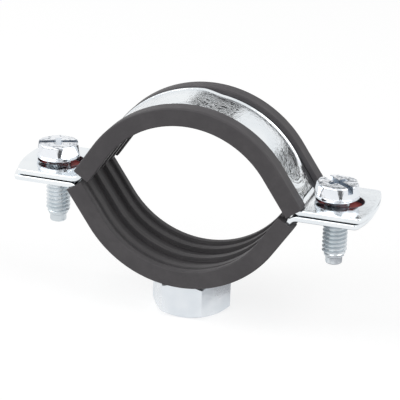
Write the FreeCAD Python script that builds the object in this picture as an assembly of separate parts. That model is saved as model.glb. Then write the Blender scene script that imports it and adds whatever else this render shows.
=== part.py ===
import FreeCAD, Part
import math
import os

V = FreeCAD.Vector

# Frame: mm, +Z up. X runs through both clamping screws, Y is the pipe axis,
# and z = 0 is the plane where the two halves meet.

# steel strip of both halves
BAND_WIDTH = 20.0
BAND_T = 1.3
BAND_EDGE_CUT = 0.23
BEND_R = 1.6
EAR_GAP = 0.3
EAR_TIP = 9.0
EAR_END_R = 30.0
EAR_CORNER_R = 1.2
UPPER_SHIFT = 0.75
SLOT_WIDTH = 7.6
SLOT_LENGTH = 10.4

# lens opening: an arc joined by straight flanks
LAND_R = 22.9
ARC_OFFSET = 4.9
FLANK_ANGLE = 51.0

# rubber channel profile
SIDE_WALL = 0.74
BED_T = 1.8
FIT = 0.06
LIP_T = 1.18
LIP_WIDTH = 4.0
LAND_WIDTH = 4.3
LAND_EDGE_CUT = 0.13
GROOVE_DEPTH = 0.75
RIB_WIDTH = 2.0
RIB_DROP = 0.3
GROOVE_DRAFT = 0.25
FACE_CUT = 0.3
LIP_CUT = 0.2
END_GAP = 0.2
CREEP = 0.8

# clamping screws, M6 x 16
THREAD_D = 5.9
SCREW_LENGTH = 16.6
HEAD_GAP = 0.9
HEAD_SIDE_GAP = 0.41
HEAD_AF = 10.0
HEAD_TAPER = 0.25
HEAD_HEIGHT = 3.6
RIM_R = 5.25
RIM_T = 0.85
RIM_EDGE = 0.2
HEAD_CHAMFER_INSET = 0.15
LEFT_TURN = 24.0
RIGHT_TURN = 142.0
DRIVE_SLOT_WIDTH = 1.4
DRIVE_SLOT_DEPTH = 1.6
CROSS_WIDTH = 1.3
CROSS_SPAN = 5.0
CROSS_DEPTH = 2.4
CROSS_FOOT_SPAN = 2.2
CROSS_FOOT_WIDTH = 0.9
DOG_D = 4.0
DOG_LENGTH = 1.7
DOG_CHAMFER = 0.35
THREAD_CHAMFER = 0.75
THREAD_PLAY = 0.05

# captive washers between the ears
WASHER_LAP = 1.3
WASHER_FACE_GAP = 0.05
WASHER_PLAY = 0.05

# connecting nut under the lower half
NUT_AF = 17.0
NUT_HEIGHT = 8.6
NUT_TURN = 2.5
NUT_CHAMFER_INSET = 0.35
SPIGOT_PLAY = 1.0
M10_BORE_D = 8.5
M8_BORE_D = 6.8
M10_DEPTH = 5.0
BORE_LEAD = 1.0
BORE_STEP = 0.6
BORE_RELIEF = 0.5

# chamfer on every hexagon, measured from its end face
HEX_CHAMFER_ANGLE = 30.0

# length by which cutting and joining shapes run past a face
OVERRUN = 2.0

# derived: heights and widths of the layers
SINF = math.sin(math.radians(FLANK_ANGLE))
COSF = math.cos(math.radians(FLANK_ANGLE))
BAND_IN = BED_T + FIT
BAND_OUT = BAND_IN + BAND_T
LINING_T = BAND_OUT + FIT + LIP_T
POCKET_HALF = BAND_WIDTH / 2 + FIT
HALF_W = POCKET_HALF + SIDE_WALL
EAR_MID_Z = EAR_GAP / 2 + BAND_T / 2
EAR_TOP_Z = EAR_GAP / 2 + BAND_T
HEAD_Z = EAR_TOP_Z + HEAD_GAP

# derived: middle line of the strip, whose flank meets the ear at CORNER_X
STRIP_R = BAND_IN + BAND_T / 2 + LAND_R
FLANK_TOP_X = STRIP_R * SINF
FLANK_TOP_Z = STRIP_R * COSF - ARC_OFFSET
CORNER_X = FLANK_TOP_X + (FLANK_TOP_Z - EAR_MID_Z) * COSF / SINF

# derived: screws stand clear of the flank's outer face at the ear's top
FLANK_FOOT_X = CORNER_X + BAND_T / 2 * (1 - COSF) / SINF
SCREW_X = FLANK_FOOT_X + HEAD_SIDE_GAP + RIM_R + UPPER_SHIFT
EAR_REACH = SCREW_X + EAR_TIP


class Station:
    """Point and heading on a path in the XZ plane; the normal is on the left."""

    def __init__(self, x, z, heading):
        self.x = x
        self.z = z
        self.heading = heading

    def normal(self):
        a = math.radians(self.heading)
        return V(-math.sin(a), 0, math.cos(a))

    def tangent(self):
        a = math.radians(self.heading)
        return V(math.cos(a), 0, math.sin(a))

    def point(self):
        return V(self.x, 0, self.z)


def cut_corners(corners):
    """Closed outline of (u, v, cut) corners; a cut takes that length off both edges."""
    outline = []
    for i, (u, v, cut) in enumerate(corners):
        here = V(u, v, 0)
        if cut == 0:
            outline.append(here)
            continue
        for other in (corners[i - 1], corners[(i + 1) % len(corners)]):
            step = V(other[0], other[1], 0).sub(here)
            step.normalize()
            outline.append(here.add(step.multiply(cut)))
    return outline


def section_face(outline, station):
    """Cross-section face across the path: u along Y, v along the path normal."""
    base = station.point()
    normal = station.normal()
    spots = [base.add(V(normal).multiply(p.y)).add(V(0, p.x, 0)) for p in outline]
    return Part.Face(Part.makePolygon(spots + spots[:1]))


def sweep(outline, station, path):
    """Solid of a section led along ("line", length) and ("arc", radius, turn)."""
    solids = []
    here = station
    for step in path:
        face = section_face(outline, here)
        if step[0] == "line":
            run = here.tangent().multiply(step[1])
            solids.append(face.extrude(run))
            here = Station(here.x + run.x, here.z + run.z, here.heading)
        else:
            radius, turn = step[1], step[2]
            side = 1 if turn > 0 else -1
            centre = here.point().add(here.normal().multiply(side * radius))
            solids.append(face.revolve(centre, V(0, -1, 0), turn))
            heading = here.heading + turn
            out = Station(0, 0, heading).normal().multiply(side * radius)
            there = centre.sub(out)
            here = Station(there.x, there.z, heading)
    return solids[0].fuse(solids[1:]).removeSplitter()


def flank_start():
    """Left end of the land line where it meets z = 0, heading up the flank."""
    tangent_x = LAND_R * SINF
    tangent_z = LAND_R * COSF - ARC_OFFSET
    length = tangent_z / SINF
    return Station(-tangent_x - length * COSF, 0, FLANK_ANGLE), length


def lining_outline():
    """Channel profile: lands and centre rib inside, lips folded over outside."""
    w = HALF_W
    rib = RIB_WIDTH / 2
    land = w - LAND_WIDTH
    d = GROOVE_DRAFT
    top = BAND_OUT + FIT
    half = [
        (rib, RIB_DROP, LAND_EDGE_CUT),
        (rib + d, GROOVE_DEPTH, 0),
        (land - d, GROOVE_DEPTH, 0),
        (land, 0, LAND_EDGE_CUT),
        (w, 0, FACE_CUT),
        (w, LINING_T, FACE_CUT),
        (w - LIP_WIDTH, LINING_T, LIP_CUT),
        (w - LIP_WIDTH, top, 0),
        (POCKET_HALF, top, 0),
        (POCKET_HALF, BED_T, 0),
    ]
    other = [(-u, v, cut) for u, v, cut in reversed(half)]
    return cut_corners(half + other)


def make_lining(creep):
    """One rubber lining above z = 0, slid along its band by creep."""
    start, length = flank_start()
    trim = END_GAP / 2 / SINF
    left = trim + creep
    begin = start.point().add(start.tangent().multiply(left))
    path = [
        ("line", length - left),
        ("arc", LAND_R, -2 * FLANK_ANGLE),
        ("line", length - trim + creep),
    ]
    channel = sweep(lining_outline(), Station(begin.x, begin.z, FLANK_ANGLE), path)
    room = band_sweep(BAND_T + FIT, BAND_WIDTH + FIT)
    return channel.cut(room)


def strip_outline(thickness, width):
    """Rolled strip section centred on the path, its four edges broken."""
    v, u = thickness / 2, width / 2
    return cut_corners([(s * u, t * v, BAND_EDGE_CUT) for s, t in ((1, -1), (1, 1), (-1, 1), (-1, -1))])


def band_sweep(thickness, width):
    """Ears, bends, flanks and arc of one half as a single bent strip."""
    bend_mid = BEND_R + BAND_T / 2
    setback = bend_mid * math.tan(math.radians(FLANK_ANGLE / 2))
    flank = (FLANK_TOP_Z - EAR_MID_Z) / SINF - setback
    ear = EAR_REACH - CORNER_X - setback
    path = [
        ("line", ear),
        ("arc", bend_mid, FLANK_ANGLE),
        ("line", flank),
        ("arc", STRIP_R, -2 * FLANK_ANGLE),
        ("line", flank),
        ("arc", bend_mid, FLANK_ANGLE),
        ("line", ear),
    ]
    return sweep(strip_outline(thickness, width), Station(-EAR_REACH, EAR_MID_Z, 0), path)


def ear_blank():
    """Plan outline that gives both ears their rounded ends, as a tall prism."""
    w = BAND_WIDTH / 2
    x = EAR_REACH - EAR_END_R + math.sqrt(EAR_END_R ** 2 - w ** 2)
    shoulder = x - EAR_CORNER_R - OVERRUN
    edges = []
    for s in (1, -1):
        spots = [
            V(s * x, s * w, 0),
            V(s * shoulder, s * w, 0),
            V(s * shoulder, s * (w + OVERRUN), 0),
            V(-s * shoulder, s * (w + OVERRUN), 0),
            V(-s * shoulder, s * w, 0),
            V(-s * x, s * w, 0),
        ]
        edges += [Part.makeLine(p, q) for p, q in zip(spots, spots[1:])]
        edges.append(Part.Arc(spots[-1], V(-s * EAR_REACH, 0, 0), V(-s * x, -s * w, 0)).toShape())
    height = LAND_R + BAND_OUT + OVERRUN
    prism = Part.Face(Part.Wire(edges)).extrude(V(0, 0, height))
    corners = []
    for edge in prism.Edges:
        a, b = edge.Vertexes[0].Point, edge.Vertexes[-1].Point
        upright = abs(a.z - b.z) > OVERRUN
        if upright and abs(abs(a.x) - x) < 1e-6:
            corners.append(edge)
    return prism.makeFillet(EAR_CORNER_R, corners)


def make_band():
    """One band above z = 0 without its screw openings."""
    strip = band_sweep(BAND_T, BAND_WIDTH)
    return strip.common(ear_blank())


def slot_tool(x):
    """Obround opening along X for one screw."""
    straight = SLOT_LENGTH - SLOT_WIDTH
    r = SLOT_WIDTH / 2
    height = EAR_TOP_Z + OVERRUN
    tool = Part.makeBox(straight, SLOT_WIDTH, height, V(x - straight / 2, -r, 0))
    return tool.fuse([Part.makeCylinder(r, height, V(x + s * straight / 2, 0, 0)) for s in (-1, 1)])


def make_upper_band():
    band = make_band()
    for side in (-1, 1):
        band = band.cut(slot_tool(side * SCREW_X))
    band.translate(V(UPPER_SHIFT, 0, 0))
    return band


def make_lower_band():
    band = make_band()
    r = THREAD_D / 2 + THREAD_PLAY
    for side in (-1, 1):
        band = band.cut(Part.makeCylinder(r, EAR_TOP_Z + OVERRUN, V(side * SCREW_X, 0, 0)))
    return band.mirror(V(0, 0, 0), V(0, 0, 1))


def hex_prism(across, z0, z1, turn, across_top=None):
    """Hexagonal body between two heights, optionally tapered."""
    wires = []
    for z, af in ((z0, across), (z1, across_top or across)):
        r = af / math.sqrt(3)
        spots = []
        for k in range(7):
            a = math.radians(turn + 60 * k)
            spots.append(V(r * math.cos(a), r * math.sin(a), z))
        wires.append(Part.makePolygon(spots))
    return Part.makeLoft(wires, True, True)


def turned(profile):
    """Solid of revolution about Z from (r, z) points."""
    spots = [V(r, 0, z) for r, z in profile]
    spots.append(spots[0])
    return Part.Face(Part.makePolygon(spots)).revolve(V(0, 0, 0), V(0, 0, 1), 360)


def chamfer_drop(corner, flat_r):
    """Height of a hexagon's end chamfer from the flat's circle to its corners."""
    return (corner - flat_r) * math.tan(math.radians(HEX_CHAMFER_ANGLE))


def head_body():
    """Hex head with its round rim."""
    corner = HEAD_AF / math.sqrt(3)
    top = HEAD_Z + HEAD_HEIGHT
    flat_r = HEAD_AF / 2 - HEAD_TAPER - HEAD_CHAMFER_INSET
    body = hex_prism(HEAD_AF, HEAD_Z, top, 30, HEAD_AF - 2 * HEAD_TAPER)
    envelope = turned([
        (0, HEAD_Z),
        (corner, HEAD_Z),
        (corner, top - chamfer_drop(corner, flat_r)),
        (flat_r, top),
        (0, top),
    ])
    rim = turned([
        (0, HEAD_Z),
        (RIM_R - RIM_EDGE, HEAD_Z),
        (RIM_R, HEAD_Z + RIM_EDGE),
        (RIM_R, HEAD_Z + RIM_T - RIM_EDGE),
        (RIM_R - RIM_EDGE, HEAD_Z + RIM_T),
        (0, HEAD_Z + RIM_T),
    ])
    return body.common(envelope).fuse(rim)


def rectangle_wire(span, width, z):
    """Rectangle centred on Z at one height."""
    x, y = span / 2, width / 2
    return Part.makePolygon([V(-x, -y, z), V(x, -y, z), V(x, y, z), V(-x, y, z), V(-x, -y, z)])


def cross_arm(angle):
    """Arm of the cross recess, narrowing with depth."""
    top = HEAD_Z + HEAD_HEIGHT
    foot = rectangle_wire(CROSS_FOOT_SPAN, CROSS_FOOT_WIDTH, top - CROSS_DEPTH)
    mouth = rectangle_wire(CROSS_SPAN, CROSS_WIDTH, top)
    arm = Part.makeLoft([foot, mouth], True, True)
    arm.rotate(V(0, 0, 0), V(0, 0, 1), angle)
    return arm


def drive_recess():
    """Straight slot from flat to flat, and a deeper short cross on it."""
    top = HEAD_Z + HEAD_HEIGHT
    span = 2 * RIM_R + OVERRUN
    corner = V(-span / 2, -DRIVE_SLOT_WIDTH / 2, top - DRIVE_SLOT_DEPTH)
    slot = Part.makeBox(span, DRIVE_SLOT_WIDTH, DRIVE_SLOT_DEPTH + OVERRUN, corner)
    return slot.fuse([cross_arm(0), cross_arm(90)])


def make_screw(x, turn):
    """Hex screw with dog point; the thread is its plain major cylinder."""
    r = THREAD_D / 2
    tip = HEAD_Z - SCREW_LENGTH
    dog = DOG_D / 2
    shank = turned([
        (0, tip),
        (dog - DOG_CHAMFER, tip),
        (dog, tip + DOG_CHAMFER),
        (dog, tip + DOG_LENGTH),
        (r, tip + DOG_LENGTH + THREAD_CHAMFER),
        (r, HEAD_Z + RIM_T),
        (0, HEAD_Z + RIM_T),
    ])
    screw = head_body().cut(drive_recess()).fuse(shank)
    screw.rotate(V(0, 0, 0), V(0, 0, 1), turn)
    screw.translate(V(x, 0, 0))
    return screw.removeSplitter()


def make_washer(x):
    """Plastic disc that keeps the screw in the halves."""
    thickness = EAR_GAP - 2 * WASHER_FACE_GAP
    base = V(x, 0, -thickness / 2)
    outer = Part.makeCylinder(SLOT_LENGTH / 2 + WASHER_LAP, thickness, base)
    return outer.cut(Part.makeCylinder(THREAD_D / 2 + WASHER_PLAY, thickness, base))


def make_nut():
    """Hex nut with stepped bore, chamfered both ends, spigot shaped to the band."""
    top = ARC_OFFSET - LAND_R - LINING_T - FIT
    bottom = top - NUT_HEIGHT
    corner = NUT_AF / math.sqrt(3)
    flat_r = NUT_AF / 2 - NUT_CHAMFER_INSET
    drop = chamfer_drop(corner, flat_r)
    body = hex_prism(NUT_AF, bottom, top, NUT_TURN).common(turned([
        (0, bottom),
        (flat_r, bottom),
        (corner, bottom + drop),
        (corner, top - drop),
        (flat_r, top),
        (0, top),
    ]))
    spigot_r = HALF_W - LIP_WIDTH - SPIGOT_PLAY
    spigot = Part.makeCylinder(spigot_r, ARC_OFFSET - bottom, V(0, 0, bottom))
    drum = Part.makeCylinder(LAND_R + BAND_OUT, 2 * NUT_AF, V(0, -NUT_AF, ARC_OFFSET), V(0, 1, 0))
    floor = bottom + M10_DEPTH
    band_z = ARC_OFFSET - LAND_R - BAND_OUT
    bore = turned([
        (0, bottom),
        (M10_BORE_D / 2 + BORE_LEAD, bottom),
        (M10_BORE_D / 2, bottom + BORE_LEAD),
        (M10_BORE_D / 2, floor),
        (M8_BORE_D / 2, floor + BORE_STEP),
        (M8_BORE_D / 2, band_z - BORE_RELIEF),
        (M8_BORE_D / 2 + BORE_RELIEF, band_z),
        (M8_BORE_D / 2 + BORE_RELIEF, ARC_OFFSET),
        (0, ARC_OFFSET),
    ])
    return body.fuse(spigot).cut(drum).cut(bore).removeSplitter()


def build():
    upper_lining = make_lining(CREEP)
    upper_lining.translate(V(UPPER_SHIFT, 0, 0))
    lower_lining = make_lining(-CREEP).mirror(V(0, 0, 0), V(0, 0, 1))
    return {
        "upper_band": make_upper_band(),
        "lower_band": make_lower_band(),
        "upper_lining": upper_lining,
        "lower_lining": lower_lining,
        "connecting_nut": make_nut(),
        "left_screw": make_screw(-SCREW_X, LEFT_TURN),
        "right_screw": make_screw(SCREW_X, RIGHT_TURN),
        "left_captive_washer": make_washer(-SCREW_X),
        "right_captive_washer": make_washer(SCREW_X),
    }


os.makedirs("parts", exist_ok=True)
for name, shape in build().items():
    shape.exportStep("parts/" + name + ".step")
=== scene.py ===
import math

import bmesh
import bpy
import numpy as np
from mathutils import Matrix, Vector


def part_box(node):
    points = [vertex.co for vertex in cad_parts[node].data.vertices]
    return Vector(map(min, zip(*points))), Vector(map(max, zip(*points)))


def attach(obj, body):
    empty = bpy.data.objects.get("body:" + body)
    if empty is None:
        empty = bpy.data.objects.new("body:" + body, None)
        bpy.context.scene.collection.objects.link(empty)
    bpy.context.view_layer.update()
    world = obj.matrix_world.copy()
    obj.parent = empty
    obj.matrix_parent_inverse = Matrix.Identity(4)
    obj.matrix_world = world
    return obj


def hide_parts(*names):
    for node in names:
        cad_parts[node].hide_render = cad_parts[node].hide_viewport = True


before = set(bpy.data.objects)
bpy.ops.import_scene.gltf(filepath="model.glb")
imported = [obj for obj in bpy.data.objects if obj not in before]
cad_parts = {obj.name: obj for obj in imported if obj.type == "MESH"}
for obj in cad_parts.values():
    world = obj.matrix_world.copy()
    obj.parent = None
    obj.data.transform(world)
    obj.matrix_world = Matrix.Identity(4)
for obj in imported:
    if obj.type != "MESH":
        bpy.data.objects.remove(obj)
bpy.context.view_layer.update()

# Shapes are worked out in millimetres in the part's frame and put into meshes in metres.
MM = 0.001


def node_box(node):
    """Lowest and highest corner of a solid of the frame, in millimetres."""
    low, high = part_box(node)
    return np.array(low) / MM, np.array(high) / MM


# Places taken from the frame
upper_low, upper_high = node_box("upper_band")
lining_low, lining_high = node_box("lower_lining")
nut_low, nut_high = node_box("connecting_nut")
screw_low, screw_high = node_box("left_screw")
washer_low, washer_high = node_box("left_captive_washer")
UPPER_SHIFT = (upper_low[0] + upper_high[0]) / 2
EAR_REACH = (upper_high[0] - upper_low[0]) / 2
STRIP_HALF = upper_high[1]
EAR_GAP = 2 * upper_low[2]
LINING_HALF = lining_high[1]
NUT_FOOT = nut_low[2]
SCREW_TIP = screw_low[2]
HEAD_TOP = screw_high[2]
SCREW_X = -(washer_low[0] + washer_high[0]) / 2
WASHER_R = (washer_high[0] - washer_low[0]) / 2
WASHER_T = washer_high[2] - washer_low[2]

# Lens opening: an arc joined by straight flanks
LAND_R = 22.9
ARC_OFFSET = 4.9
FLANK_ANGLE = 56.0

# Steel strip
STRIP_T = 1.3
STRIP_EDGE_R = 0.3
BEND_R = 1.6
EAR_END_R = 30.0
EAR_CORNER_R = 1.2
SLOT_R = 4.2
SLOT_HALF = 1.5
TAP_R = 3.0
HOLE_EDGE_R = 0.12
BEAD_HALF = 5.9
BEAD_HEIGHT = 0.32
BEAD_WIDTH = 0.34
BEAD_RUN = 0.4
PAD_HEIGHT = 0.75
PAD_LEAD = 8.0
PAD_END = (-1.4, 3.8)
PAD_SIDE = (6.35, 6.75)
RELIEF_HALF = 7.0

# Rubber channel
BED_T = 1.8
FIT = 0.06
LIP_T = 1.17
LIP_WIDTH = 4.0
SIDE_WALL = 0.74
RIM_LAND = 1.85
RIB_DROP = 0.3
RIB_HALF = 0.95
SIDE_RIB = (5.1, 7.05)
GROOVE_DRAFT = 0.25
GROOVE_DEPTH = 1.25
SIDE_GROOVE_DEPTH = 0.65
END_GAP = 0.2
CREEP = 0.9

# Screws
THREAD_R = 2.94
THREAD_DEPTH = 0.56
PITCH = 1.0
DOG_R = 2.0
DOG_LENGTH = 1.7
DOG_CHAMFER = 0.35
HEAD_FOOT = 2.35
RIM_R = 5.25
RIM_T = 0.85
RIM_EDGE = 0.22
HEAD_FLAT = 5.0
HEAD_TAPER = 0.25
CORNER_FOOT_R = 5.62
CORNER_TOP_R = 5.0
CROWN_R = 0.5
HEAD_BLEND = 0.35
HEAD_EDGE = 0.07
DRIVE_SLOT_WIDTH = 1.4
DRIVE_SLOT_DEPTH = 1.6
CROSS_SPAN = 5.0
CROSS_WIDTH = 1.3
CROSS_DEPTH = 2.4
CROSS_FOOT_SPAN = 2.2
CROSS_FOOT_WIDTH = 0.9
LEFT_TURN = 24.0
RIGHT_TURN = 142.0

# Connecting nut
NUT_HEIGHT = 8.6
NUT_FLAT = 8.5
NUT_TURN = 2.5
NUT_CHAMFER_INSET = 0.35
HEX_CHAMFER_ANGLE = 30.0
SPIGOT_R = 5.8
M10_R, M10_WALL, M10_PITCH = 4.95, 4.25, 1.5
M8_R, M8_WALL, M8_PITCH = 3.95, 3.4, 1.25
M10_DEPTH = 5.0
BORE_LEAD = 1.0
BORE_STEP = 0.6
BORE_RELIEF = 0.5

# Studio floor: its colour, and its glow for the object and for the eye
FLOOR_TONE = 0.32
FLOOR_GLOW = (0.28, 0.745)

# Worked out from the sizes above
SINF = math.sin(math.radians(FLANK_ANGLE))
COSF = math.cos(math.radians(FLANK_ANGLE))
STRIP_IN = BED_T + FIT
STRIP_OUT = STRIP_IN + STRIP_T
POCKET_TOP = STRIP_OUT + FIT
LINING_T = POCKET_TOP + LIP_T
POCKET_HALF = LINING_HALF - SIDE_WALL
STRIP_R = LAND_R + STRIP_IN + STRIP_T / 2
EAR_MID_Z = EAR_GAP / 2 + STRIP_T / 2
FLANK_TOP_X = STRIP_R * SINF
FLANK_TOP_Z = STRIP_R * COSF - ARC_OFFSET
CORNER_X = FLANK_TOP_X + (FLANK_TOP_Z - EAR_MID_Z) * COSF / SINF
BEND_MID = BEND_R + STRIP_T / 2
SETBACK = BEND_MID * math.tan(math.radians(FLANK_ANGLE / 2))
EAR_START = CORNER_X + SETBACK


# Outlines and paths

def arc_points(centre, radius, start, end, count):
    """Points (u, v) at equal angles, in degrees, on a circle."""
    angle = np.radians(np.linspace(start, end, count))
    return np.stack([centre[0] + radius * np.cos(angle), centre[1] + radius * np.sin(angle)], -1)


def rounded_outline(corners, count=5):
    """Closed outline of (u, v, radius) corners, each radius a tangent arc of count points."""
    pieces = []
    places = np.array([c[:2] for c in corners], float)
    for i, (u, v, radius) in enumerate(corners):
        here = places[i]
        back = places[i - 1] - here
        ahead = places[(i + 1) % len(corners)] - here
        back /= np.linalg.norm(back)
        ahead /= np.linalg.norm(ahead)
        half = math.acos(np.clip(back @ ahead, -1, 1)) / 2
        middle = (back + ahead) / np.linalg.norm(back + ahead)
        centre = here + middle * radius / math.sin(half)
        start = here + back * radius / math.tan(half) - centre
        end = here + ahead * radius / math.tan(half) - centre
        share = np.linspace(0, 1, count)[:, None]
        turn = math.acos(np.clip(start @ end / radius ** 2, -1, 1))
        arc = (np.sin((1 - share) * turn) * start + np.sin(share * turn) * end) / math.sin(turn)
        pieces.append(centre + arc)
    return np.concatenate(pieces)


def path_stations(start, steps, arc_step=2.0, line_step=3.0):
    """Rows (x, z, heading) along ("line", length) and ("arc", radius, turn) steps.

    A line keeps its heading; an arc turns about a centre on its normal."""
    x, z, heading = start
    rows = [np.array([[x, z, heading]])]
    for step in steps:
        if step[0] == "line":
            count = max(1, math.ceil(step[1] / line_step))
            way = np.linspace(0, step[1], count + 1)[1:]
            a = math.radians(heading)
            part = np.stack([x + way * math.cos(a), z + way * math.sin(a), 0 * way + heading], -1)
        else:
            radius, turn = step[1], step[2]
            side = math.copysign(1, turn)
            count = max(1, math.ceil(abs(turn) / arc_step))
            angle = heading + np.linspace(0, turn, count + 1)[1:]
            a0 = math.radians(heading)
            cx = x - side * radius * math.sin(a0)
            cz = z + side * radius * math.cos(a0)
            a = np.radians(angle)
            part = np.stack([cx + side * radius * np.sin(a), cz - side * radius * np.cos(a), angle], -1)
        rows.append(part)
        x, z, heading = part[-1]
    return np.concatenate(rows)


def swept_grid(profile, stations, lift=0.0):
    """Grid of points: profile (u, v) carried along the stations, u along Y, v along the normal.

    lift is added to v and may differ from point to point."""
    a = np.radians(stations[:, 2])[:, None]
    x = stations[:, :1] - np.sin(a) * (profile[:, 1] + lift)
    z = stations[:, 1:2] + np.cos(a) * (profile[:, 1] + lift)
    y = np.broadcast_to(profile[:, 0], x.shape)
    return np.stack([x, y, z], -1)


def polar_grid(radius, angle, height):
    """Grid of points about the Z axis from radii, angles in degrees and heights that broadcast."""
    a = np.radians(angle)
    return np.stack(np.broadcast_arrays(radius * np.cos(a), radius * np.sin(a), height), -1)


def turned_grid(profile, columns):
    """Surface of revolution: (r, z) rows turned about the Z axis, closed round."""
    profile = np.array(profile, float)
    angle = np.arange(columns) * 360 / columns
    return polar_grid(profile[:, :1], angle, profile[:, 1:])


# Meshes

class Shell:
    """Points and faces gathered from several grids before they become one mesh."""

    def __init__(self):
        self.points = []
        self.faces = []
        self.kinds = []
        self.count = 0

    def add_grid(self, grid, wrap_rows=False, wrap_columns=False, kind=0):
        """Faces over a grid of points; kind is the number of their material."""
        rows, columns = grid.shape[:2]
        i = np.arange(rows if wrap_rows else rows - 1)
        j = np.arange(columns if wrap_columns else columns - 1)
        i, j = np.meshgrid(i, j, indexing="ij")
        i2, j2 = (i + 1) % rows, (j + 1) % columns
        quads = np.stack([i * columns + j, i * columns + j2, i2 * columns + j2, i2 * columns + j], -1)
        self.faces += (self.count + quads.reshape(-1, 4)).tolist()
        self.kinds += [kind] * quads[..., 0].size
        self.points.append(grid.reshape(-1, 3))
        self.count += rows * columns

    def add_cap(self, ring):
        """One flat face over a closed ring of points."""
        self.faces.append(list(range(self.count, self.count + len(ring))))
        self.kinds.append(0)
        self.points.append(ring)
        self.count += len(ring)

    def mesh(self, name):
        """Mesh in metres with its seams merged and its faces outwards."""
        mesh = bpy.data.meshes.new(name)
        mesh.from_pydata((np.concatenate(self.points) * MM).tolist(), [], self.faces)
        mesh.polygons.foreach_set("material_index", self.kinds)
        form = bmesh.new()
        form.from_mesh(mesh)
        bmesh.ops.remove_doubles(form, verts=form.verts, dist=0.002 * MM)
        bmesh.ops.recalc_face_normals(form, faces=form.faces)
        form.to_mesh(mesh)
        form.free()
        return mesh


def new_piece(name, mesh, sharp_angle):
    """Object at the origin, shaded smooth up to the given edge angle."""
    mesh.shade_smooth()
    mesh.set_sharp_from_angle(angle=math.radians(sharp_angle))
    piece = bpy.data.objects.new(name, mesh)
    bpy.context.scene.collection.objects.link(piece)
    return piece


def weigh_normals(piece):
    """Keeps large flat faces flat beside their rounded edges."""
    modifier = piece.modifiers.new("weighted_normals", "WEIGHTED_NORMAL")
    modifier.keep_sharp = True
    modifier.weight = 80


def dress(piece, body, node, slot_name, *materials):
    """Gives a piece its materials and puts it on its body in place of its node."""
    for material in materials:
        piece.data.materials.append(material)
    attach(piece, body)
    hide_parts(node)
    return piece


def mirrored(grid, down):
    """Points turned to the lower half where down is set."""
    return grid * (1, 1, -1) if down else grid


# Steel strip

def edge_rows():
    """Rounded edge of the strip: (inset, height) from its top face round to its bottom face."""
    half = STRIP_T / 2 - STRIP_EDGE_R
    rows = np.concatenate([
        arc_points((0, half), STRIP_EDGE_R, 90, 0, 6),
        arc_points((0, -half), STRIP_EDGE_R, 0, -90, 6),
    ])
    return np.stack([STRIP_EDGE_R - rows[:, 0], rows[:, 1]], -1)


def across_places():
    """Places across the flat of the strip, close together where its beads run."""
    edge = STRIP_HALF - STRIP_EDGE_R
    outer = np.linspace(edge, RELIEF_HALF, 5)
    bead = np.linspace(RELIEF_HALF - 0.15, BEAD_HALF - 1, 19)
    inner = np.linspace(BEAD_HALF - 1.7, 0, 7)
    half = np.concatenate([outer, bead, inner])
    return np.concatenate([-half, half[::-1][1:]])


def strip_profile():
    """Strip section: flat top and bottom, and rounded edges."""
    half = STRIP_T / 2
    flat = across_places()
    rows = edge_rows()
    right = np.stack([STRIP_HALF - rows[:, 0], rows[:, 1]], -1)
    left = np.stack([-STRIP_HALF + rows[::-1, 0], rows[::-1, 1]], -1)
    top = np.stack([flat, 0 * flat + half], -1)
    bottom = np.stack([flat[::-1], 0 * flat - half], -1)
    return np.concatenate([top[:-1], right[:-1], bottom[:-1], left[:-1]])


def ear_outline():
    """Ear edge in plan from one side round its end to the other: points and outward normals.

    Straight side, corner arc tangent to it, end arc about a point on the X axis, and back."""
    w = STRIP_HALF
    middle = EAR_REACH - EAR_END_R
    corner_y = w - EAR_CORNER_R
    corner_x = middle + math.sqrt((EAR_END_R - EAR_CORNER_R) ** 2 - corner_y ** 2)
    tilt = math.degrees(math.atan2(corner_y, corner_x - middle))
    side = np.linspace(EAR_START, corner_x, 24)[:-1]
    side = np.stack([side, 0 * side - w], -1)
    corner = arc_points((corner_x, -corner_y), EAR_CORNER_R, -90, -tilt, 10)[:-1]
    end = arc_points((middle, 0), EAR_END_R, -tilt, tilt, 49)
    points = np.concatenate([side, corner, end])
    normals = np.concatenate([
        0 * side + (0, -1),
        (corner - (corner_x, -corner_y)) / EAR_CORNER_R,
        (end - (middle, 0)) / EAR_END_R,
    ])
    count = len(side) + len(corner)
    points = np.concatenate([points, points[:count][::-1] * (1, -1)])
    normals = np.concatenate([normals, normals[:count][::-1] * (1, -1)])
    return points, normals


def obround(angle, half, radius):
    """Points and outward normals of an obround along X where rays from its middle meet it."""
    c, s = np.cos(angle), np.sin(angle)
    side_reach = radius / np.maximum(np.abs(s), 1e-9)
    on_side = np.abs(side_reach * c) <= half
    root = np.sqrt(np.maximum(radius ** 2 - (half * s) ** 2, 0))
    reach = np.where(on_side, side_reach, half * np.abs(c) + root)
    points = np.stack([reach * c, reach * s], -1)
    centre = np.stack([np.where(on_side, points[:, 0], half * np.sign(c)), 0 * s], -1)
    return points, (points - centre) / radius


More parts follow.
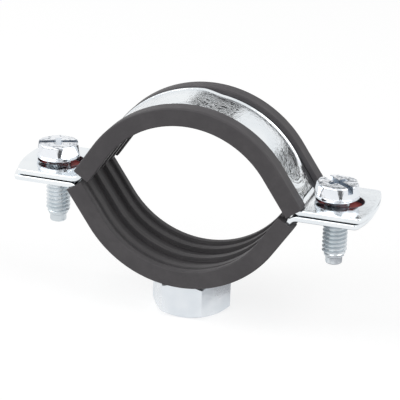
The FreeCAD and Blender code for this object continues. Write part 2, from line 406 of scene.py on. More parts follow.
def add_ear(shell, side, shift, down, hole_half, hole_r):
    """Flat ear: its rounded edge, the wall of its hole, and the two faces between them."""
    def place(plan, height):
        grid = np.stack(np.broadcast_arrays(side * plan[..., 0], plan[..., 1], EAR_MID_Z + height), -1)
        return mirrored(grid + (shift, 0, 0), down)

    half = STRIP_T / 2
    points, normals = ear_outline()
    rows = edge_rows()
    shell.add_grid(place(points[:, None] - normals[:, None] * rows[None, :, :1], rows[:, 1]))

    joint = across_places()[::-1][1:-1]
    joint = np.stack([0 * joint + EAR_START, joint], -1)
    outer = np.concatenate([points - normals * STRIP_EDGE_R, joint])
    angle = np.arctan2(outer[:, 1], outer[:, 0] - SCREW_X)
    hole, hole_normal = obround(angle, hole_half, hole_r)
    hole = hole + (SCREW_X, 0)
    inner = hole + hole_normal * HOLE_EDGE_R
    face = inner + (outer - inner) * np.linspace(0, 1, 4)[:, None, None]
    shell.add_grid(place(face, half), wrap_columns=True)
    shell.add_grid(place(face, -half), wrap_columns=True)

    turn = np.radians(np.linspace(90, 0, 5))
    inset = HOLE_EDGE_R * (1 - np.cos(turn))
    lift = half - HOLE_EDGE_R * (1 - np.sin(turn))
    inset = np.concatenate([inset, inset[::-1]])[:, None, None]
    lift = np.concatenate([lift, -lift[::-1]])[:, None]
    # Painted shade: the hole's wall gets the darker second material.
    shell.add_grid(place(hole + hole_normal * (HOLE_EDGE_R - inset), lift), wrap_columns=True, kind=1)


def fade(value, start, end):
    """Smooth share from 0 at start to 1 at end."""
    share = np.clip((value - start) / (end - start), 0, 1)
    return share * share * (3 - 2 * share)


def strip_relief(way, across, pad):
    """Pressed relief of the strip's outer face; way runs along it from its top, across over it.

    A bead follows a long loop whose ends are half circles on the flanks: a bell curve of the
    distance from that loop. The pad is a raised part of the face that ends near the top."""
    reach = STRIP_R * math.radians(FLANK_ANGLE) + BEAD_RUN
    beyond = np.maximum(np.abs(way) - reach, 0)
    from_loop = np.hypot(beyond, across) - BEAD_HALF
    bead = BEAD_HEIGHT * np.exp(-(from_loop / BEAD_WIDTH) ** 2)
    level = (1 - fade(way, *PAD_END)) * fade(way, -reach - PAD_LEAD, -reach)
    return bead + pad * level * (1 - fade(np.abs(across), *PAD_SIDE))


def make_band(name, down, shift, hole_half, hole_r, pad, *materials):
    """One bent steel strip with its two ears.

    A rounded section is carried along bend, flank, arc, flank, bend; each ear is a flat
    grid of rays from its hole to its outline."""
    flank = (FLANK_TOP_Z - EAR_MID_Z) / SINF - SETBACK
    stations = path_stations((-EAR_START, EAR_MID_Z, 0), [
        ("arc", BEND_MID, FLANK_ANGLE),
        ("line", flank),
        ("arc", STRIP_R, -2 * FLANK_ANGLE),
        ("line", flank),
        ("arc", BEND_MID, FLANK_ANGLE),
    ], 1.5, 0.5)
    steps = np.hypot(np.diff(stations[:, 0]), np.diff(stations[:, 1]))
    way = np.concatenate([[0], np.cumsum(steps)])[:, None]
    profile = strip_profile()
    outer = (profile[:, 1] > STRIP_T / 2 - 1e-6) & (np.abs(profile[:, 0]) < RELIEF_HALF)
    lift = strip_relief(way - way[-1] / 2, profile[:, 0], pad) * outer
    shell = Shell()
    sweep = swept_grid(profile, stations, lift) + (shift, 0, 0)
    shell.add_grid(mirrored(sweep, down), wrap_columns=True)
    for side in (-1, 1):
        add_ear(shell, side, shift, down, hole_half, hole_r)
    piece = new_piece(name, shell.mesh(name), 60)
    weigh_normals(piece)
    body = "lower_half" if down else "upper_half"
    node = "lower_band" if down else "upper_band"
    return dress(piece, body, node, "zinc_strip", *materials)


# Rubber channel

def lining_profile():
    """Channel section: rim lands and three ribs inside, lips folded over outside."""
    w = LINING_HALF
    land = w - RIM_LAND
    near, far = SIDE_RIB
    d = GROOVE_DRAFT
    half = [
        (RIB_HALF, RIB_DROP, 0.18),
        (RIB_HALF + d, GROOVE_DEPTH, 0.15),
        (near - d, GROOVE_DEPTH, 0.15),
        (near, RIB_DROP, 0.18),
        (far, RIB_DROP, 0.18),
        (far + d, SIDE_GROOVE_DEPTH, 0.12),
        (land - d, SIDE_GROOVE_DEPTH, 0.12),
        (land, 0, 0.3),
        (w, 0, 0.32),
        (w, LINING_T, 0.42),
        (w - LIP_WIDTH, LINING_T, 0.28),
        (w - LIP_WIDTH, POCKET_TOP, 0.05),
        (POCKET_HALF, POCKET_TOP, 0.05),
        (POCKET_HALF, BED_T, 0.05),
    ]
    other = [(-u, v, r) for u, v, r in reversed(half)]
    return rounded_outline(half + other)


def make_lining(name, down, shift, creep, material):
    """One rubber channel: its section carried along flank, arc, flank, with flat cut ends.

    It has slid along its strip by creep, so that it falls short at the left end."""
    tangent_x = LAND_R * SINF
    length = (LAND_R * COSF - ARC_OFFSET) / SINF
    trim = END_GAP / 2 / SINF
    left = trim + creep
    start = (-tangent_x - (length - left) * COSF, left * SINF, FLANK_ANGLE)
    stations = path_stations(start, [
        ("line", length - left),
        ("arc", LAND_R, -2 * FLANK_ANGLE),
        ("line", length - trim + creep),
    ])
    grid = mirrored(swept_grid(lining_profile(), stations) + (shift, 0, 0), down)
    shell = Shell()
    shell.add_grid(grid, wrap_columns=True)
    shell.add_cap(grid[0])
    shell.add_cap(grid[-1])
    piece = new_piece(name, shell.mesh(name), 50)
    weigh_normals(piece)
    body = "lower_half" if down else "upper_half"
    node = "lower_lining" if down else "upper_lining"
    return dress(piece, body, node, "rubber_lining", material)


# Threads

# Places over one pitch at which the form is worked out, and where its flanks start and end
PHASES = np.array([0, .04, .07, .11, .22, .33, .375, .42, .5, .58, .625, .67, .78, .89, .93, .96])
CREST_HALF = 0.065
ROOT_START = 0.385


def thread_wave(phase):
    """Thread form over one pitch: 1 on the crest, 0 at the root, straight flanks between."""
    away = np.abs(phase - np.round(phase))
    return np.clip((ROOT_START - away) / (ROOT_START - CREST_HALF), 0, 1)


def helix_grid(radius, low, high, pitch, columns=48):
    """Right-hand helical surface; its rows follow the helix and are held between two heights.

    radius(height, phase) gives each point's distance from the Z axis."""
    turns = math.ceil((high - low) / pitch) + 1
    rise = ((np.arange(-1, turns)[:, None] + PHASES) * pitch).ravel()[:, None]
    phase = np.tile(PHASES, turns + 1)[:, None]
    around = np.linspace(0, 1, columns + 1)
    height = np.clip(low + rise + pitch * around, low, high)
    return polar_grid(radius(height, phase), 360 * around, height)


# Screws

def screw_shank():
    """Closed shank: dog point, helical thread with faded ends, top hidden in the head."""
    dog_top = SCREW_TIP + DOG_LENGTH
    core = THREAD_R - THREAD_DEPTH
    low, high = dog_top + 0.3, HEAD_FOOT + 0.3

    def radius(height, phase):
        depth = THREAD_DEPTH * fade(height, low, low + 1.3) * (1 - fade(height, high - 0.8, high))
        return core + depth * thread_wave(phase)

    shell = Shell()
    shell.add_grid(helix_grid(radius, low, high, PITCH))
    edge = arc_points((DOG_R - DOG_CHAMFER, SCREW_TIP + DOG_CHAMFER), DOG_CHAMFER, -90, 0, 6)
    dog = [(0, SCREW_TIP), (1.0, SCREW_TIP), *edge, (DOG_R, dog_top - 0.1), (DOG_R + 0.05, dog_top)]
    shell.add_grid(turned_grid([*dog, (core, low)], 48), wrap_columns=True)
    shell.add_grid(turned_grid([(core, high), (0, high)], 48), wrap_columns=True)
    return shell


def hex_columns(wide):
    """Angles round a hexagon from its first corner: a facet of half angle wide, then a flat."""
    facet = wide * np.linspace(-1, 1, 7)[:-1]
    flat = wide + (60 - 2 * wide) * np.linspace(0, 1, 13)[:-1]
    sector = np.concatenate([facet, flat], -1)
    return np.concatenate([sector + 60 * k for k in range(6)], -1)


def head_surface():
    """Closed head: round rim, tapered hexagon whose corners are cut by a cone, rounded crown.

    On each level a corner is held to the cone's circle, and the columns follow the lines
    where that circle meets the flats. Two flats face along X, where the drive slot runs."""
    rim_top = HEAD_FOOT + RIM_T
    crown_foot = HEAD_TOP - CROWN_R
    z = np.concatenate([rim_top + np.array([0, 0.05, 0.12, 0.22, HEAD_BLEND]),
                        np.linspace(rim_top + HEAD_BLEND, crown_foot, 13)[1:]])[:, None]
    share = (z - rim_top) / (crown_foot - rim_top)
    flat = HEAD_FLAT - 0.03 - (HEAD_TAPER - 0.03) * share
    cone = CORNER_FOOT_R + (CORNER_TOP_R - CORNER_FOOT_R) * share
    cone = RIM_R - 0.02 + (cone - RIM_R + 0.02) * fade(z, rim_top, rim_top + HEAD_BLEND)
    cone = np.minimum(cone, flat / math.cos(math.radians(30)) - 0.005)
    wide = 30 - np.degrees(np.arccos(np.clip(flat / cone, 0, 1)))
    angle = hex_columns(wide)
    from_flat = np.abs((angle % 60) - 30)
    radius = np.minimum(flat / np.cos(np.radians(from_flat)), cone)
    angle = angle + 30

    turn = np.radians(np.linspace(0, 90, 8))[1:, None]
    crown_r = radius[-1] - CROWN_R * (1 - np.cos(turn))
    crown_z = crown_foot + CROWN_R * np.sin(turn)
    rings = np.array([0.75, 0.5, 0.25, 0])[:, None]
    rim = np.concatenate([
        [(0, HEAD_FOOT), (2.5, HEAD_FOOT)],
        arc_points((RIM_R - RIM_EDGE, HEAD_FOOT + RIM_EDGE), RIM_EDGE, -90, 0, 7),
        arc_points((RIM_R - RIM_EDGE, rim_top - RIM_EDGE), RIM_EDGE, 0, 90, 7),
    ])
    shell = Shell()
    shell.add_grid(np.concatenate([
        polar_grid(rim[:, :1], angle[:1], rim[:, 1:]),
        polar_grid(radius, angle, z),
        polar_grid(crown_r, angle[-1:], crown_z),
        polar_grid(crown_r[-1] * rings, angle[-1:], HEAD_TOP),
    ]), wrap_columns=True)
    return shell


def prism_tool(low_half, high_half, low, high):
    """Closed block between two centred rectangles at two heights, for cutting a recess.

    low_half and high_half are half the rectangles' sides along X and Y."""
    corners = np.array([(-1, -1), (1, -1), (1, 1), (-1, 1)])
    rings = np.zeros((2, 4, 3))
    rings[0, :, :2] = corners * low_half
    rings[1, :, :2] = corners * high_half
    rings[:, :, 2] = np.array([[low], [high]])
    shell = Shell()
    shell.add_grid(rings, wrap_columns=True)
    shell.add_cap(rings[0])
    shell.add_cap(rings[1])
    return shell


def recess_tools():
    """Slot from flat to flat, and the two tapered arms of the cross."""
    over, reach = 0.4, HEAD_FLAT + 2
    slot = prism_tool((reach, DRIVE_SLOT_WIDTH / 2), (reach, DRIVE_SLOT_WIDTH / 2 + 0.06),
                      HEAD_TOP - DRIVE_SLOT_DEPTH, HEAD_TOP + over)
    grow = 1 + over / CROSS_DEPTH
    foot = np.array([CROSS_FOOT_SPAN, CROSS_FOOT_WIDTH]) / 2
    mouth = foot + (np.array([CROSS_SPAN, CROSS_WIDTH]) / 2 - foot) * grow
    low = HEAD_TOP - CROSS_DEPTH
    arm = prism_tool(foot, mouth, low, HEAD_TOP + over)
    across = prism_tool(foot[::-1], mouth[::-1], low, HEAD_TOP + over)
    return [slot, arm, across]


def cut_head():
    """Head mesh with its recess cut and its edges broken; the recess faces get the third material, darker
    zinc as painted shade.
    """
    head = new_piece("head_blank", head_surface().mesh("head_blank"), 14)
    tools = []
    for i, shell in enumerate(recess_tools()):
        tool = new_piece(f"recess_tool_{i}", shell.mesh(f"recess_tool_{i}"), 30)
        modifier = head.modifiers.new(f"recess_{i}", "BOOLEAN")
        modifier.object = tool
        modifier.operation = "DIFFERENCE"
        modifier.solver = "EXACT"
        tools.append(tool)
    bevel = head.modifiers.new("edges", "BEVEL")
    bevel.width = HEAD_EDGE * MM
    bevel.segments = 2
    bevel.limit_method = "ANGLE"
    bevel.angle_limit = math.radians(16)
    graph = bpy.context.evaluated_depsgraph_get()
    cut = bpy.data.meshes.new_from_object(head.evaluated_get(graph))
    for piece in (head, *tools):
        bpy.data.objects.remove(piece)
    middle = np.zeros(3 * len(cut.polygons))
    cut.polygons.foreach_get("center", middle)
    x, y, z = middle.reshape(-1, 3).T / MM
    inside = np.hypot(x, y) < HEAD_FLAT - HEAD_TAPER - CROWN_R
    inside &= (z < HEAD_TOP - 0.1) & (z > HEAD_FOOT + 0.5)
    # Painted shade: faces inside the recess get the darker third material.
    cut.polygons.foreach_set("material_index", np.where(inside, 2, 0))
    return cut


def make_screw(name, side, turn, node, *materials):
    """One clamping screw: cut head and threaded shank in one mesh, turned and put in place.

    Its materials are those of the head, the shank and the recess; the recess one is darker zinc as painted
    shade."""
    form = bmesh.new()
    form.from_mesh(screw_shank().mesh(name + "_shank"))
    shank_faces = len(form.faces)
    form.from_mesh(cut_head())
    place = Matrix.Translation((side * SCREW_X * MM, 0, 0)) @ Matrix.Rotation(math.radians(turn), 4, "Z")
    form.transform(place)
    form.faces.ensure_lookup_table()
    for face in form.faces[:shank_faces]:
        face.material_index = 1
    mesh = bpy.data.meshes.new(name)
    form.to_mesh(mesh)
    form.free()
    piece = new_piece(name, mesh, 38)
    weigh_normals(piece)
    return dress(piece, node, node, "zinc_screw", *materials)


# Connecting nut

def nut_columns():
    """Angles round the nut, close together at its six corners."""
    s = np.linspace(-1, 1, 21)[:-1]
    sector = 30 * np.sign(s) * np.abs(s) ** 2.2
    return np.concatenate([sector + 60 * k + NUT_TURN for k in range(6)])


def nut_radius(angle):
    """Distance to a hexagon with softly rounded corners: a high power mean over its flats."""
    power = 110
    total = 0 * angle
    for k in range(6):
        facing = np.cos(np.radians(angle - NUT_TURN - 30 - 60 * k))
        total = total + np.maximum(facing, 0) ** power
    return NUT_FLAT * total ** (-1 / power)


def drum_height(x):
    """Height of the lower band's outer face over a place on the X axis."""
    return ARC_OFFSET - np.sqrt((LAND_R + STRIP_OUT) ** 2 - x ** 2)


def nut_thread(wall, deep, low, high, pitch, cone):
    """Helical wall of a threaded bore between two heights, opened by a lead-in cone."""
    def radius(height, phase):
        depth = (deep - wall) * fade(height, low, low + 0.3) * (1 - fade(height, high - 1.0, high))
        return np.maximum(wall + depth * thread_wave(phase + 0.5), cone - (height - low))
    return helix_grid(radius, low, high, pitch, 60)


def make_nut(*materials):
    """Hex connecting nut: chamfered outside, stepped threaded bore, spigot up to the band.

    A chamfer's height is the hexagon's reach past the inset circle times the tangent of its
    angle. The foot's chamfer has the second material, darker zinc as painted shade where it faces the floor."""
    foot, top = NUT_FOOT, NUT_FOOT + NUT_HEIGHT
    angle = nut_columns()
    hexagon = nut_radius(angle)
    flat = NUT_FLAT - NUT_CHAMFER_INSET
    drop = (hexagon - flat) * math.tan(math.radians(HEX_CHAMFER_ANGLE))
    mouth = M10_WALL + BORE_LEAD
    spigot_x = SPIGOT_R * np.cos(np.radians(angle))
    rows = [
        (mouth, foot),
        (flat - 0.3, foot),
        (flat, foot + 0.03),
        (hexagon - 0.12, foot + drop - 0.05),
        (hexagon - 0.02, foot + drop + 0.04),
        (hexagon, foot + drop + 0.2),
        (hexagon, top - drop - 0.2),
        (hexagon - 0.02, top - drop - 0.04),
        (hexagon - 0.12, top - drop + 0.05),
        (flat, top - 0.03),
        (flat - 0.3, top),
        (SPIGOT_R + 0.5, top),
        (SPIGOT_R + 0.12, top + 0.12),
        (SPIGOT_R, top + 0.5),
        (SPIGOT_R, drum_height(spigot_x)),
    ]
    shell = Shell()
    grid = np.stack([polar_grid(r + 0 * angle, angle, z + 0 * angle) for r, z in rows])
    # Painted shade: the foot's underside and chamfer get the darker second material.
    shell.add_grid(grid[:5], wrap_columns=True, kind=1)
    shell.add_grid(grid[4:], wrap_columns=True)

    floor = foot + M10_DEPTH
    step = floor + BORE_STEP
    relief_z = ARC_OFFSET - LAND_R - STRIP_OUT - BORE_RELIEF
    relief = M8_WALL + BORE_RELIEF
    relief_x = relief * np.cos(np.radians(angle))
    shell.add_grid(nut_thread(M10_WALL, M10_R, foot, floor, M10_PITCH, mouth))
    shell.add_grid(turned_grid([(M10_WALL, floor), (M8_WALL, step)], 60), wrap_columns=True)
    shell.add_grid(nut_thread(M8_WALL, M8_R, step, relief_z, M8_PITCH, M8_WALL))
    shell.add_grid(np.stack([
        polar_grid(M8_WALL + 0 * angle, angle, relief_z),
        polar_grid(relief + 0 * angle, angle, drum_height(relief_x)),
        polar_grid(SPIGOT_R + 0 * angle, angle, drum_height(spigot_x)),
    ]), wrap_columns=True)
    piece = new_piece("threaded_nut", shell.mesh("threaded_nut"), 32)
    weigh_normals(piece)
    return dress(piece, "lower_half", "connecting_nut", "zinc_nut", *materials)


# Washers

def make_washer(name, side, node, material):
    """Thin plastic disc between the ears, with rounded rim."""
    half = WASHER_T / 2
    inner = THREAD_R + 0.06
    edge = 0.07
    profile = [
        (inner, half), (inner, -half), (WASHER_R - edge, -half),
        (WASHER_R - 0.3 * edge, -half + 0.3 * edge), (WASHER_R, -half + edge),
        (WASHER_R, half - edge), (WASHER_R - 0.3 * edge, half - 0.3 * edge), (WASHER_R - edge, half),
    ]
    shell = Shell()
    grid = turned_grid(profile, 72) + (side * SCREW_X, 0, 0)
    shell.add_grid(grid, wrap_rows=True, wrap_columns=True)
    piece = new_piece(name, shell.mesh(name), 40)
    return dress(piece, "upper_half", node, "red_plastic", material)


# Material parts

def new_group(name, inputs, outputs):
    """Shader node group with float inputs (name, value) and float outputs."""
    group = bpy.data.node_groups.new(name, "ShaderNodeTree")
    for label, value in inputs:
        socket = group.interface.new_socket(label, in_out="INPUT", socket_type="NodeSocketFloat")
        socket.default_value = value
    for label in outputs:
        group.interface.new_socket(label, in_out="OUTPUT", socket_type="NodeSocketFloat")
    return group, group.nodes.new("NodeGroupInput"), group.nodes.new("NodeGroupOutput")


def add_noise(tree, vector, scale, detail=3.0, rough=0.55):
    """Noise texture on a vector; scale is a number or a socket."""
    noise = tree.nodes.new("ShaderNodeTexNoise")
    noise.inputs["Detail"].default_value = detail
    noise.inputs["Roughness"].default_value = rough
    tree.links.new(vector, noise.inputs["Vector"])
    if isinstance(scale, (int, float)):
        noise.inputs["Scale"].default_value = scale
    else:
        tree.links.new(scale, noise.inputs["Scale"])
    return noise.outputs["Fac"]


def add_range(tree, value, low, high, to_low=0.0, to_high=1.0):
    """Smooth remap of a value from one range to another."""
    node = tree.nodes.new("ShaderNodeMapRange")
    node.interpolation_type = "SMOOTHSTEP"
    for label, number in (("From Min", low), ("From Max", high), ("To Min", to_low), ("To Max", to_high)):
        node.inputs[label].default_value = number
    tree.links.new(value, node.inputs["Value"])
    return node.outputs["Result"]


def add_math(tree, operation, *values):
    """Arithmetic on sockets and numbers."""
    node = tree.nodes.new("ShaderNodeMath")
    node.operation = operation
    for socket, value in zip(node.inputs, values):
        if isinstance(value, (int, float)):
            socket.default_value = value
        else:
            tree.links.new(value, socket)
    return node.outputs[0]


def add_stretch(tree, scale, turn=(0, 0, 0)):
    """Object coordinates stretched along the axes."""
    coords = tree.nodes.new("ShaderNodeTexCoord")
    mapping = tree.nodes.new("ShaderNodeMapping")
    mapping.inputs["Scale"].default_value = scale
    mapping.inputs["Rotation"].default_value = turn
    tree.links.new(coords.outputs["Object"], mapping.inputs["Vector"])
    return mapping.outputs["Vector"]


def add_mix(tree, share, first, second):
    """Colour blend by a share; each colour is a triple or a socket."""
    node = tree.nodes.new("ShaderNodeMix")
    node.data_type = "RGBA"
    tree.links.new(share, node.inputs["Factor"])
    colours = [s for s in node.inputs if s.type == "RGBA"]
    for socket, colour in zip(colours, (first, second)):
        if isinstance(colour, tuple):
            socket.default_value = (*colour, 1)
        else:
            tree.links.new(colour, socket)
    return [s for s in node.outputs if s.type == "RGBA"][0]


def add_bump(tree, height, distance, strength, normal=None):
    """Bump from a height mask; distance in metres."""
    node = tree.nodes.new("ShaderNodeBump")
    node.inputs["Distance"].default_value = distance
    node.inputs["Strength"].default_value = strength
    tree.links.new(height, node.inputs["Height"])
    if normal is not None:
        tree.links.new(normal, node.inputs["Normal"])
    return node.outputs["Normal"]


def add_group(tree, group, **values):
    """Instance of a shared group with its inputs set."""
    node = tree.nodes.new("ShaderNodeGroup")
    node.node_tree = group
    for label, value in values.items():
        node.inputs[label].default_value = value
    return node


def clouding_group():
    """Soft blotches of plating, with a finer mottling inside them."""
    group, source, sink = new_group("plating_clouds", [("Scale", 120.0)], ["Cloud", "Mottle"])
    coords = add_stretch(group, (1, 1, 1))
    cloud = add_noise(group, coords, source.outputs["Scale"], 2.0)
    group.links.new(add_range(group, cloud, 0.35, 0.65), sink.inputs["Cloud"])
    mottle = add_noise(group, coords, 900.0, 4.0, 0.6)
    group.links.new(add_range(group, mottle, 0.35, 0.65), sink.inputs["Mottle"])
    return group


def scratches_group():
    """Sparse hair scratches in two directions, as a mask."""
    group, source, sink = new_group("hair_scratches", [("Amount", 0.5)], ["Mask"])
    marks = []
    for scale, turn in (((3000, 120, 3000), (0, 0.4, 0.5)), ((150, 2600, 2600), (0.3, 0, -0.35))):
        mark = add_noise(group, add_stretch(group, scale, turn), 1.0, 1.0)
        marks.append(add_range(group, mark, 0.66, 0.76))
    both = add_math(group, "MAXIMUM", *marks)
    group.links.new(add_math(group, "MULTIPLY", both, source.outputs["Amount"]), sink.inputs["Mask"])
    return group


def new_material(name):
    """Empty node material with its Principled shader."""
    material = bpy.data.materials.new(name)
    material.use_nodes = True
    return material, material.node_tree, material.node_tree.nodes["Principled BSDF"]


def height_share(tree, low, high):
    """Share from 0 to 1 as the height over or under the ears' plane goes from low to high, in mm."""
    apart = tree.nodes.new("ShaderNodeSeparateXYZ")
    tree.links.new(add_stretch(tree, (1, 1, 1)), apart.inputs[0])
    return add_range(tree, add_math(tree, "ABSOLUTE", apart.outputs["Z"]), low * MM, high * MM)


def zinc_material(name, light, dark, rough, uneven, scratch, clouds, marks, calm=None, reflection_spots=None):
    """Bright zinc plate: clouded colour and gloss, slightly uneven surface, hair scratches.

    rough is the roughness in the clouds and between them; uneven and scratch are strengths;
    calm gives the heights between which the unevenness grows from a quarter to whole;
    reflection_spots gives the heights between which dark spots set in, and their colour, a painted
    reflection of dark surroundings."""
    material, tree, shader = new_material(name)
    cloud = add_group(tree, clouds, Scale=110.0)
    mark = add_group(tree, marks, Amount=scratch)
    base = add_mix(tree, cloud.outputs["Cloud"], dark, light)
    if reflection_spots:
        # Painted reflection: dark spots near the top stand in for dark surroundings reflected in the head.
        spots = add_noise(tree, add_stretch(tree, (1, 1, 1.5)), 1100.0, 3.0, 0.6)
        share = add_math(tree, "MULTIPLY", add_range(tree, spots, 0.5, 0.62), height_share(tree, *reflection_spots[:2]))
        base = add_mix(tree, share, base, reflection_spots[2])
    tree.links.new(base, shader.inputs["Base Color"])
    plain = add_range(tree, cloud.outputs["Cloud"], 0, 1, rough[1], rough[0])
    gloss = add_math(tree, "MULTIPLY_ADD", mark.outputs["Mask"], 0.12, plain)
    tree.links.new(gloss, shader.inputs["Roughness"])
    shader.inputs["Metallic"].default_value = 1.0
    relief = cloud.outputs["Mottle"]
    if calm:
        whole = add_math(tree, "MULTIPLY_ADD", height_share(tree, *calm), 0.75, 0.25)
        relief = add_math(tree, "MULTIPLY", relief, whole)
    peel = add_bump(tree, relief, 0.00004, uneven)
    hair = add_bump(tree, mark.outputs["Mask"], 0.00001, 0.4, peel)
    tree.links.new(hair, shader.inputs["Normal"])
    return material


def rubber_material():
    """Matt dark rubber: streaks along the extruded channel, fine grain and a little dust, and painted shade
    darkening its grooves and hollows.
    """
    material, tree, shader = new_material("channel_rubber")
    streak = add_noise(tree, add_stretch(tree, (40, 2400, 40)), 1.0, 2.0)
    grain = add_noise(tree, add_stretch(tree, (1, 1, 1)), 5200.0, 2.0)
    dust = add_noise(tree, add_stretch(tree, (1, 1, 1)), 160.0, 5.0, 0.65)
    base = add_mix(tree, add_range(tree, dust, 0.35, 0.75), (0.062, 0.058, 0.062), (0.082, 0.077, 0.081))
    # Painted shade: ambient occlusion darkens the colour in the grooves and hollows.
    shade = tree.nodes.new("ShaderNodeAmbientOcclusion")
    shade.inputs["Distance"].default_value = 0.003
    shade.only_local = True
    tree.links.new(base, shade.inputs["Color"])
    tree.links.new(shade.outputs["Color"], shader.inputs["Base Color"])
    tree.links.new(add_range(tree, streak, 0.3, 0.7, 0.5, 0.62), shader.inputs["Roughness"])
    shader.inputs["Specular IOR Level"].default_value = 0.35
    lines = add_bump(tree, streak, 0.00003, 0.25)
    tree.links.new(add_bump(tree, grain, 0.00002, 0.35, lines), shader.inputs["Normal"])
    return material


def plastic_material():
    """Dull red plastic with faint moulding flow."""
    material, tree, shader = new_material("washer_plastic")
    flow = add_noise(tree, add_stretch(tree, (300, 300, 900)), 1.0, 3.0)
    base = add_mix(tree, add_range(tree, flow, 0.3, 0.7), (0.40, 0.07, 0.07), (0.52, 0.11, 0.10))
    tree.links.new(base, shader.inputs["Base Color"])
    tree.links.new(add_range(tree, flow, 0.3, 0.7, 0.4, 0.55), shader.inputs["Roughness"])
    return material


# Stage, light and camera

def seen_rays(tree):
    """1 for rays that show the background: camera, glossy and transmission rays."""
    path = tree.nodes.new("ShaderNodeLightPath")
    metal = add_math(tree, "MAXIMUM", path.outputs["Is Glossy Ray"], path.outputs["Is Transmission Ray"])
    return add_math(tree, "MAXIMUM", path.outputs["Is Camera Ray"], metal)


def floor_material():
    """Pale floor that shows white where it is lit and keeps the object's shadow.

    Its glow is lower for the rays that light the object than for those that show it."""
    material, tree, shader = new_material("studio_floor")
    tree.nodes.remove(shader)
    diffuse = tree.nodes.new("ShaderNodeBsdfDiffuse")
    diffuse.inputs["Color"].default_value = (FLOOR_TONE, FLOOR_TONE, FLOOR_TONE, 1)
    glow = tree.nodes.new("ShaderNodeEmission")
    tree.links.new(add_range(tree, seen_rays(tree), 0, 1, *FLOOR_GLOW), glow.inputs["Strength"])
    both = tree.nodes.new("ShaderNodeAddShader")
    tree.links.new(diffuse.outputs[0], both.inputs[0])
    tree.links.new(glow.outputs[0], both.inputs[1])
    tree.links.new(both.outputs[0], tree.nodes["Material Output"].inputs["Surface"])
    return material


def flat_grid(width, height):
    """Flat rectangle in the XY plane about the origin, in millimetres."""
    x, y = np.meshgrid(np.linspace(-0.5, 0.5, 3) * width, np.linspace(-0.5, 0.5, 3) * height)
    return np.stack([x, y, 0 * x], -1)


def make_floor():
    """Large flat floor under the nut."""
    shell = Shell()
    shell.add_grid(flat_grid(8000, 8000) + (0, 0, NUT_FOOT - 0.02))
    floor = new_piece("floor", shell.mesh("floor"), 30)
    floor.data.materials.append(floor_material())


def make_world(ambient):
    """White background to the eye and in reflections, and even light on the object."""
    world = bpy.data.worlds.new("studio")
    bpy.context.scene.world = world
    world.use_nodes = True
    tree = world.node_tree
    background = tree.nodes["Background"]
    background.inputs["Color"].default_value = (1, 1, 1, 1)
    tree.links.new(add_range(tree, seen_rays(tree), 0, 1, ambient, 1.0), background.inputs["Strength"])


def round_place(azimuth, elevation, distance):
    """Placement at a direction and distance round the object, in metres, facing its middle."""
    a, e = math.radians(azimuth), math.radians(elevation)
    back = np.array([math.cos(e) * math.cos(a), math.cos(e) * math.sin(a), math.sin(e)])
    right = np.array([-math.sin(a), math.cos(a), 0])
    up = np.cross(back, right)
    turn = Matrix([[right[i], up[i], back[i]] for i in range(3)]).to_4x4()
    return Matrix.Translation(back * distance) @ turn


def add_lamp(name, azimuth, elevation, distance, width, height, power):
    """Soft box round the object, in metres and watts."""
    lamp = bpy.data.lights.new(name, "AREA")
    lamp.shape = "RECTANGLE"
    lamp.size = width
    lamp.size_y = height
    lamp.energy = power
    box = bpy.data.objects.new(name, lamp)
    box.matrix_world = round_place(azimuth, elevation, distance)
    bpy.context.scene.collection.objects.link(box)


def card_material(name, tone):
    """Dull board of one tone."""
    material, tree, shader = new_material(name)
    fibre = add_noise(tree, add_stretch(tree, (1, 1, 1)), 60.0, 2.0)
    base = add_mix(tree, fibre, (0.8 * tone, 0.8 * tone, 0.84 * tone), (1.2 * tone, 1.2 * tone, 1.24 * tone))
    tree.links.new(base, shader.inputs["Base Color"])
    shader.inputs["Roughness"].default_value = 1.0
    return material


def add_card(name, place, width, height, material, level=False):
    """Card that only metal reflects; place in metres. Level, or turned to the object's middle."""
    shell = Shell()
    shell.add_grid(flat_grid(width / MM, height / MM))
    mesh = shell.mesh(name)
    x, y, z = place
    distance = math.sqrt(x * x + y * y + z * z)
    azimuth, elevation = math.degrees(math.atan2(y, x)), math.degrees(math.asin(z / distance))
    mesh.transform(Matrix.Translation(place) if level else round_place(azimuth, elevation, distance))
    card = new_piece(name, mesh, 30)
    card.data.materials.append(material)
    for rays in ("camera", "diffuse", "transmission", "volume_scatter", "shadow"):
        setattr(card, "visible_" + rays, False)


def make_camera():
    """Camera at the photograph's viewing angle: turned, raised and rolled a little.

    It aims at a point beside and under the middle; focal is the focal length for a picture
    400 units wide."""
    turned, raised, roll = np.radians([17.78, 21.62, 1.79])
    distance, focal = 471.2, 1981.5
    aim_side, aim_height = 1.374, -3.897
    back = np.array([math.sin(turned) * math.cos(raised), -math.cos(turned) * math.cos(raised),
                     math.sin(raised)])
    level = np.array([math.cos(turned), math.sin(turned), 0])
    rise = np.cross(back, level)
    right = math.cos(roll) * level + math.sin(roll) * rise
    up = -math.sin(roll) * level + math.cos(roll) * rise
    target = aim_side * level + (0, 0, aim_height)
    data = bpy.data.cameras.new("camera")
    data.sensor_width = 36.0
    data.lens = data.sensor_width * focal / 400
    data.clip_start = 0.01
    data.clip_end = 50
    camera = bpy.data.objects.new("camera", data)
    turn = Matrix([[right[i], up[i], back[i]] for i in range(3)]).to_4x4()
    camera.matrix_world = Matrix.Translation((target + distance * back) * MM) @ turn
    bpy.context.scene.collection.objects.link(camera)
    bpy.context.scene.camera = camera


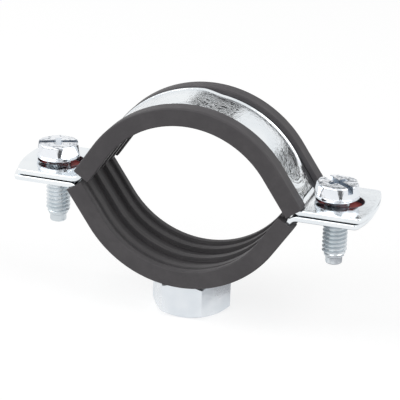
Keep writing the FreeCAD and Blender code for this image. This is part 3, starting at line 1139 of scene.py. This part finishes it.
def build_pieces():
    """Every piece of the clamp with its material."""
    clouds, marks = clouding_group(), scratches_group()
    strip = zinc_material("strip_zinc", (0.84, 0.87, 0.89), (0.78, 0.82, 0.85),
                          (0.08, 0.15), 0.6, 0.5, clouds, marks, calm=(2, 5))
    nut = zinc_material("nut_zinc", (0.80, 0.83, 0.86), (0.70, 0.74, 0.78),
                        (0.26, 0.38), 0.4, 0.6, clouds, marks)
    # The head's dark spots near its top are a painted reflection.
    head = zinc_material("head_zinc", (0.86, 0.88, 0.91), (0.78, 0.81, 0.85),
                         (0.07, 0.16), 0.4, 0.4, clouds, marks,
                         reflection_spots=(HEAD_TOP - 0.7, HEAD_TOP - 0.3, (0.30, 0.33, 0.37)))
    # Darker zinc as painted shade on the walls of the ears' holes.
    hole_shade = zinc_material("hole_shade_zinc", (0.34, 0.36, 0.40), (0.16, 0.17, 0.20),
                            (0.4, 0.55), 0.6, 0.4, clouds, marks)
    # Darker zinc as painted shade in the screws' recesses and on the nut's foot.
    recess = zinc_material("painted_shade_zinc", (0.66, 0.70, 0.75), (0.40, 0.44, 0.49),
                           (0.22, 0.35), 0.5, 0.4, clouds, marks)
    thread = zinc_material("thread_zinc", (0.72, 0.76, 0.79), (0.61, 0.66, 0.69),
                           (0.24, 0.36), 0.3, 0.5, clouds, marks)
    rubber = rubber_material()
    plastic = plastic_material()
    make_band("top_strip", False, UPPER_SHIFT, SLOT_HALF, SLOT_R, PAD_HEIGHT, strip, hole_shade)
    make_band("bottom_strip", True, 0.0, 0.0, TAP_R, 0.0, strip, hole_shade)
    make_lining("top_rubber", False, UPPER_SHIFT, CREEP, rubber)
    make_lining("bottom_rubber", True, 0.0, -CREEP, rubber)
    make_screw("screw_a", -1, LEFT_TURN, "left_screw", head, thread, recess)
    make_screw("screw_b", 1, RIGHT_TURN, "right_screw", head, thread, recess)
    make_nut(nut, recess)
    make_washer("washer_a", -1, "left_captive_washer", plastic)
    make_washer("washer_b", 1, "right_captive_washer", plastic)


def build_studio():
    """Floor, background, soft boxes, cards and camera."""
    make_floor()
    make_world(0.40)
    add_lamp("soft_left", 200, 40, 0.9, 0.6, 0.6, 3.0)
    add_lamp("soft_right", -15, 45, 0.9, 0.6, 0.6, 2.5)
    add_lamp("soft_front", -105, 30, 0.9, 0.5, 0.5, 1.6)
    dark = card_material("dark_card", 0.015)
    add_card("card_front", (0.6, -1.04, 0.16), 0.5, 0.5, card_material("grey_card", 0.16))
    add_card("card_top", (-0.022, 0.150, 0.089), 0.072, 0.026, dark)
    add_card("card_side", (0.092, 0.150, 0.030), 0.034, 0.030, dark)
    add_card("card_low", (0.042, 0.012, NUT_FOOT * MM + 0.0002), 0.048, 0.07,
             card_material("pale_card", 0.62), True)
    make_camera()


build_pieces()
build_studio()
bpy.context.scene.view_settings.view_transform = "Standard"
